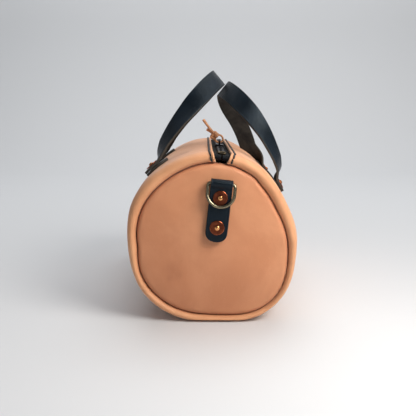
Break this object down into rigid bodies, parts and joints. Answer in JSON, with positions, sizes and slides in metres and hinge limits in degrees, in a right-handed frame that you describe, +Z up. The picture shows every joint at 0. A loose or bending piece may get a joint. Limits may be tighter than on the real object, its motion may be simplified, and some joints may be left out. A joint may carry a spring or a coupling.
{
  "type": "barrel doctor bag",
  "caption": "Small barrel-shaped zip-top bag in natural leather with round puffed ends, black strap handles on copper rivets, and D-ring tabs.",
  "frame": {"origin": "centre of the flat underside, half way along the bag and under the middle of the barrel's section", "axes": "+X along the barrel, -Y the front, +Z up"},
  "size_m": [0.2548, 0.1499, 0.2277],
  "materials": {
    "natural_leather": "natural vegetable-tanned, satin",
    "black_leather": "black bridle leather with a blue cast, satin",
    "copper": "aged copper",
    "antique_brass": "antique brass",
    "black_tape": "woven tape",
    "dark_metal": "blackened",
    "black_thread": "waxed thread",
    "natural_thread": "waxed thread"
  },
  "bodies": {
    "bag": {"barrel_shell": "natural_leather", "end_panel_right": "natural_leather", "end_panel_left": "natural_leather", "zip_tape_front": "black_tape", "zip_tape_back": "black_tape", "zip_teeth_front": "dark_metal", "zip_teeth_back": "dark_metal", "zip_end_stop": "antique_brass", "zip_top_stops": "antique_brass", "zip_stitches_front": "black_thread", "zip_stitches_back": "black_thread", "end_stitches_right": "natural_thread", "end_stitches_left": "natural_thread", "handle_ends_front": "black_leather", "handle_ends_back": "black_leather", "handle_patches_front": "black_leather", "handle_patches_back": "black_leather", "handle_rivets_front": "copper", "handle_rivets_back": "copper", "handle_burrs_front": "copper", "handle_burrs_back": "copper", "tab_strap_right": "black_leather", "tab_strap_left": "black_leather", "tab_rivets_right": "copper", "tab_rivets_left": "copper", "tab_burrs_right": "copper", "tab_burrs_left": "copper"},
    "handle_front": {"handle_strap_front": "black_leather"},
    "handle_back": {"handle_strap_back": "black_leather"},
    "slider": {"zip_slider": "dark_metal"},
    "pull": {"pull_thong": "natural_leather"},
    "d_ring_right": {"d_ring_right": "antique_brass"},
    "d_ring_left": {"d_ring_left": "antique_brass"}
  },
  "joints": [
    {"name": "handle_front_fold", "type": "hinge", "parent": "bag", "child": "handle_front", "pos_m": [0, -0.05152, 0.13953], "axis": [1, 0, 0], "range_deg": [0, 105]},
    {"name": "handle_back_fold", "type": "hinge", "parent": "bag", "child": "handle_back", "pos_m": [0, 0.0607, 0.12449], "axis": [-1, 0, 0], "range_deg": [0, 105]},
    {"name": "zip_slide", "type": "slide", "parent": "bag", "child": "slider", "axis": [1, 0, 0], "range_m": [-0.112, 0.082]},
    {"name": "pull_swing", "type": "hinge", "parent": "slider", "child": "pull", "pos_m": [0.015, 0.00868, 0.1563], "axis": [0, 0.9942, -0.108], "range_deg": [-35, 35]},
    {"name": "d_ring_right_swing", "type": "hinge", "parent": "bag", "child": "d_ring_right", "pos_m": [0.1222, 0.00759, 0.12509], "axis": [0, -0.9942, 0.108], "range_deg": [0, 165]},
    {"name": "d_ring_left_swing", "type": "hinge", "parent": "bag", "child": "d_ring_left", "pos_m": [-0.1222, 0.00759, 0.12509], "axis": [0, 0.9942, -0.108], "range_deg": [0, 165]}
  ]
}
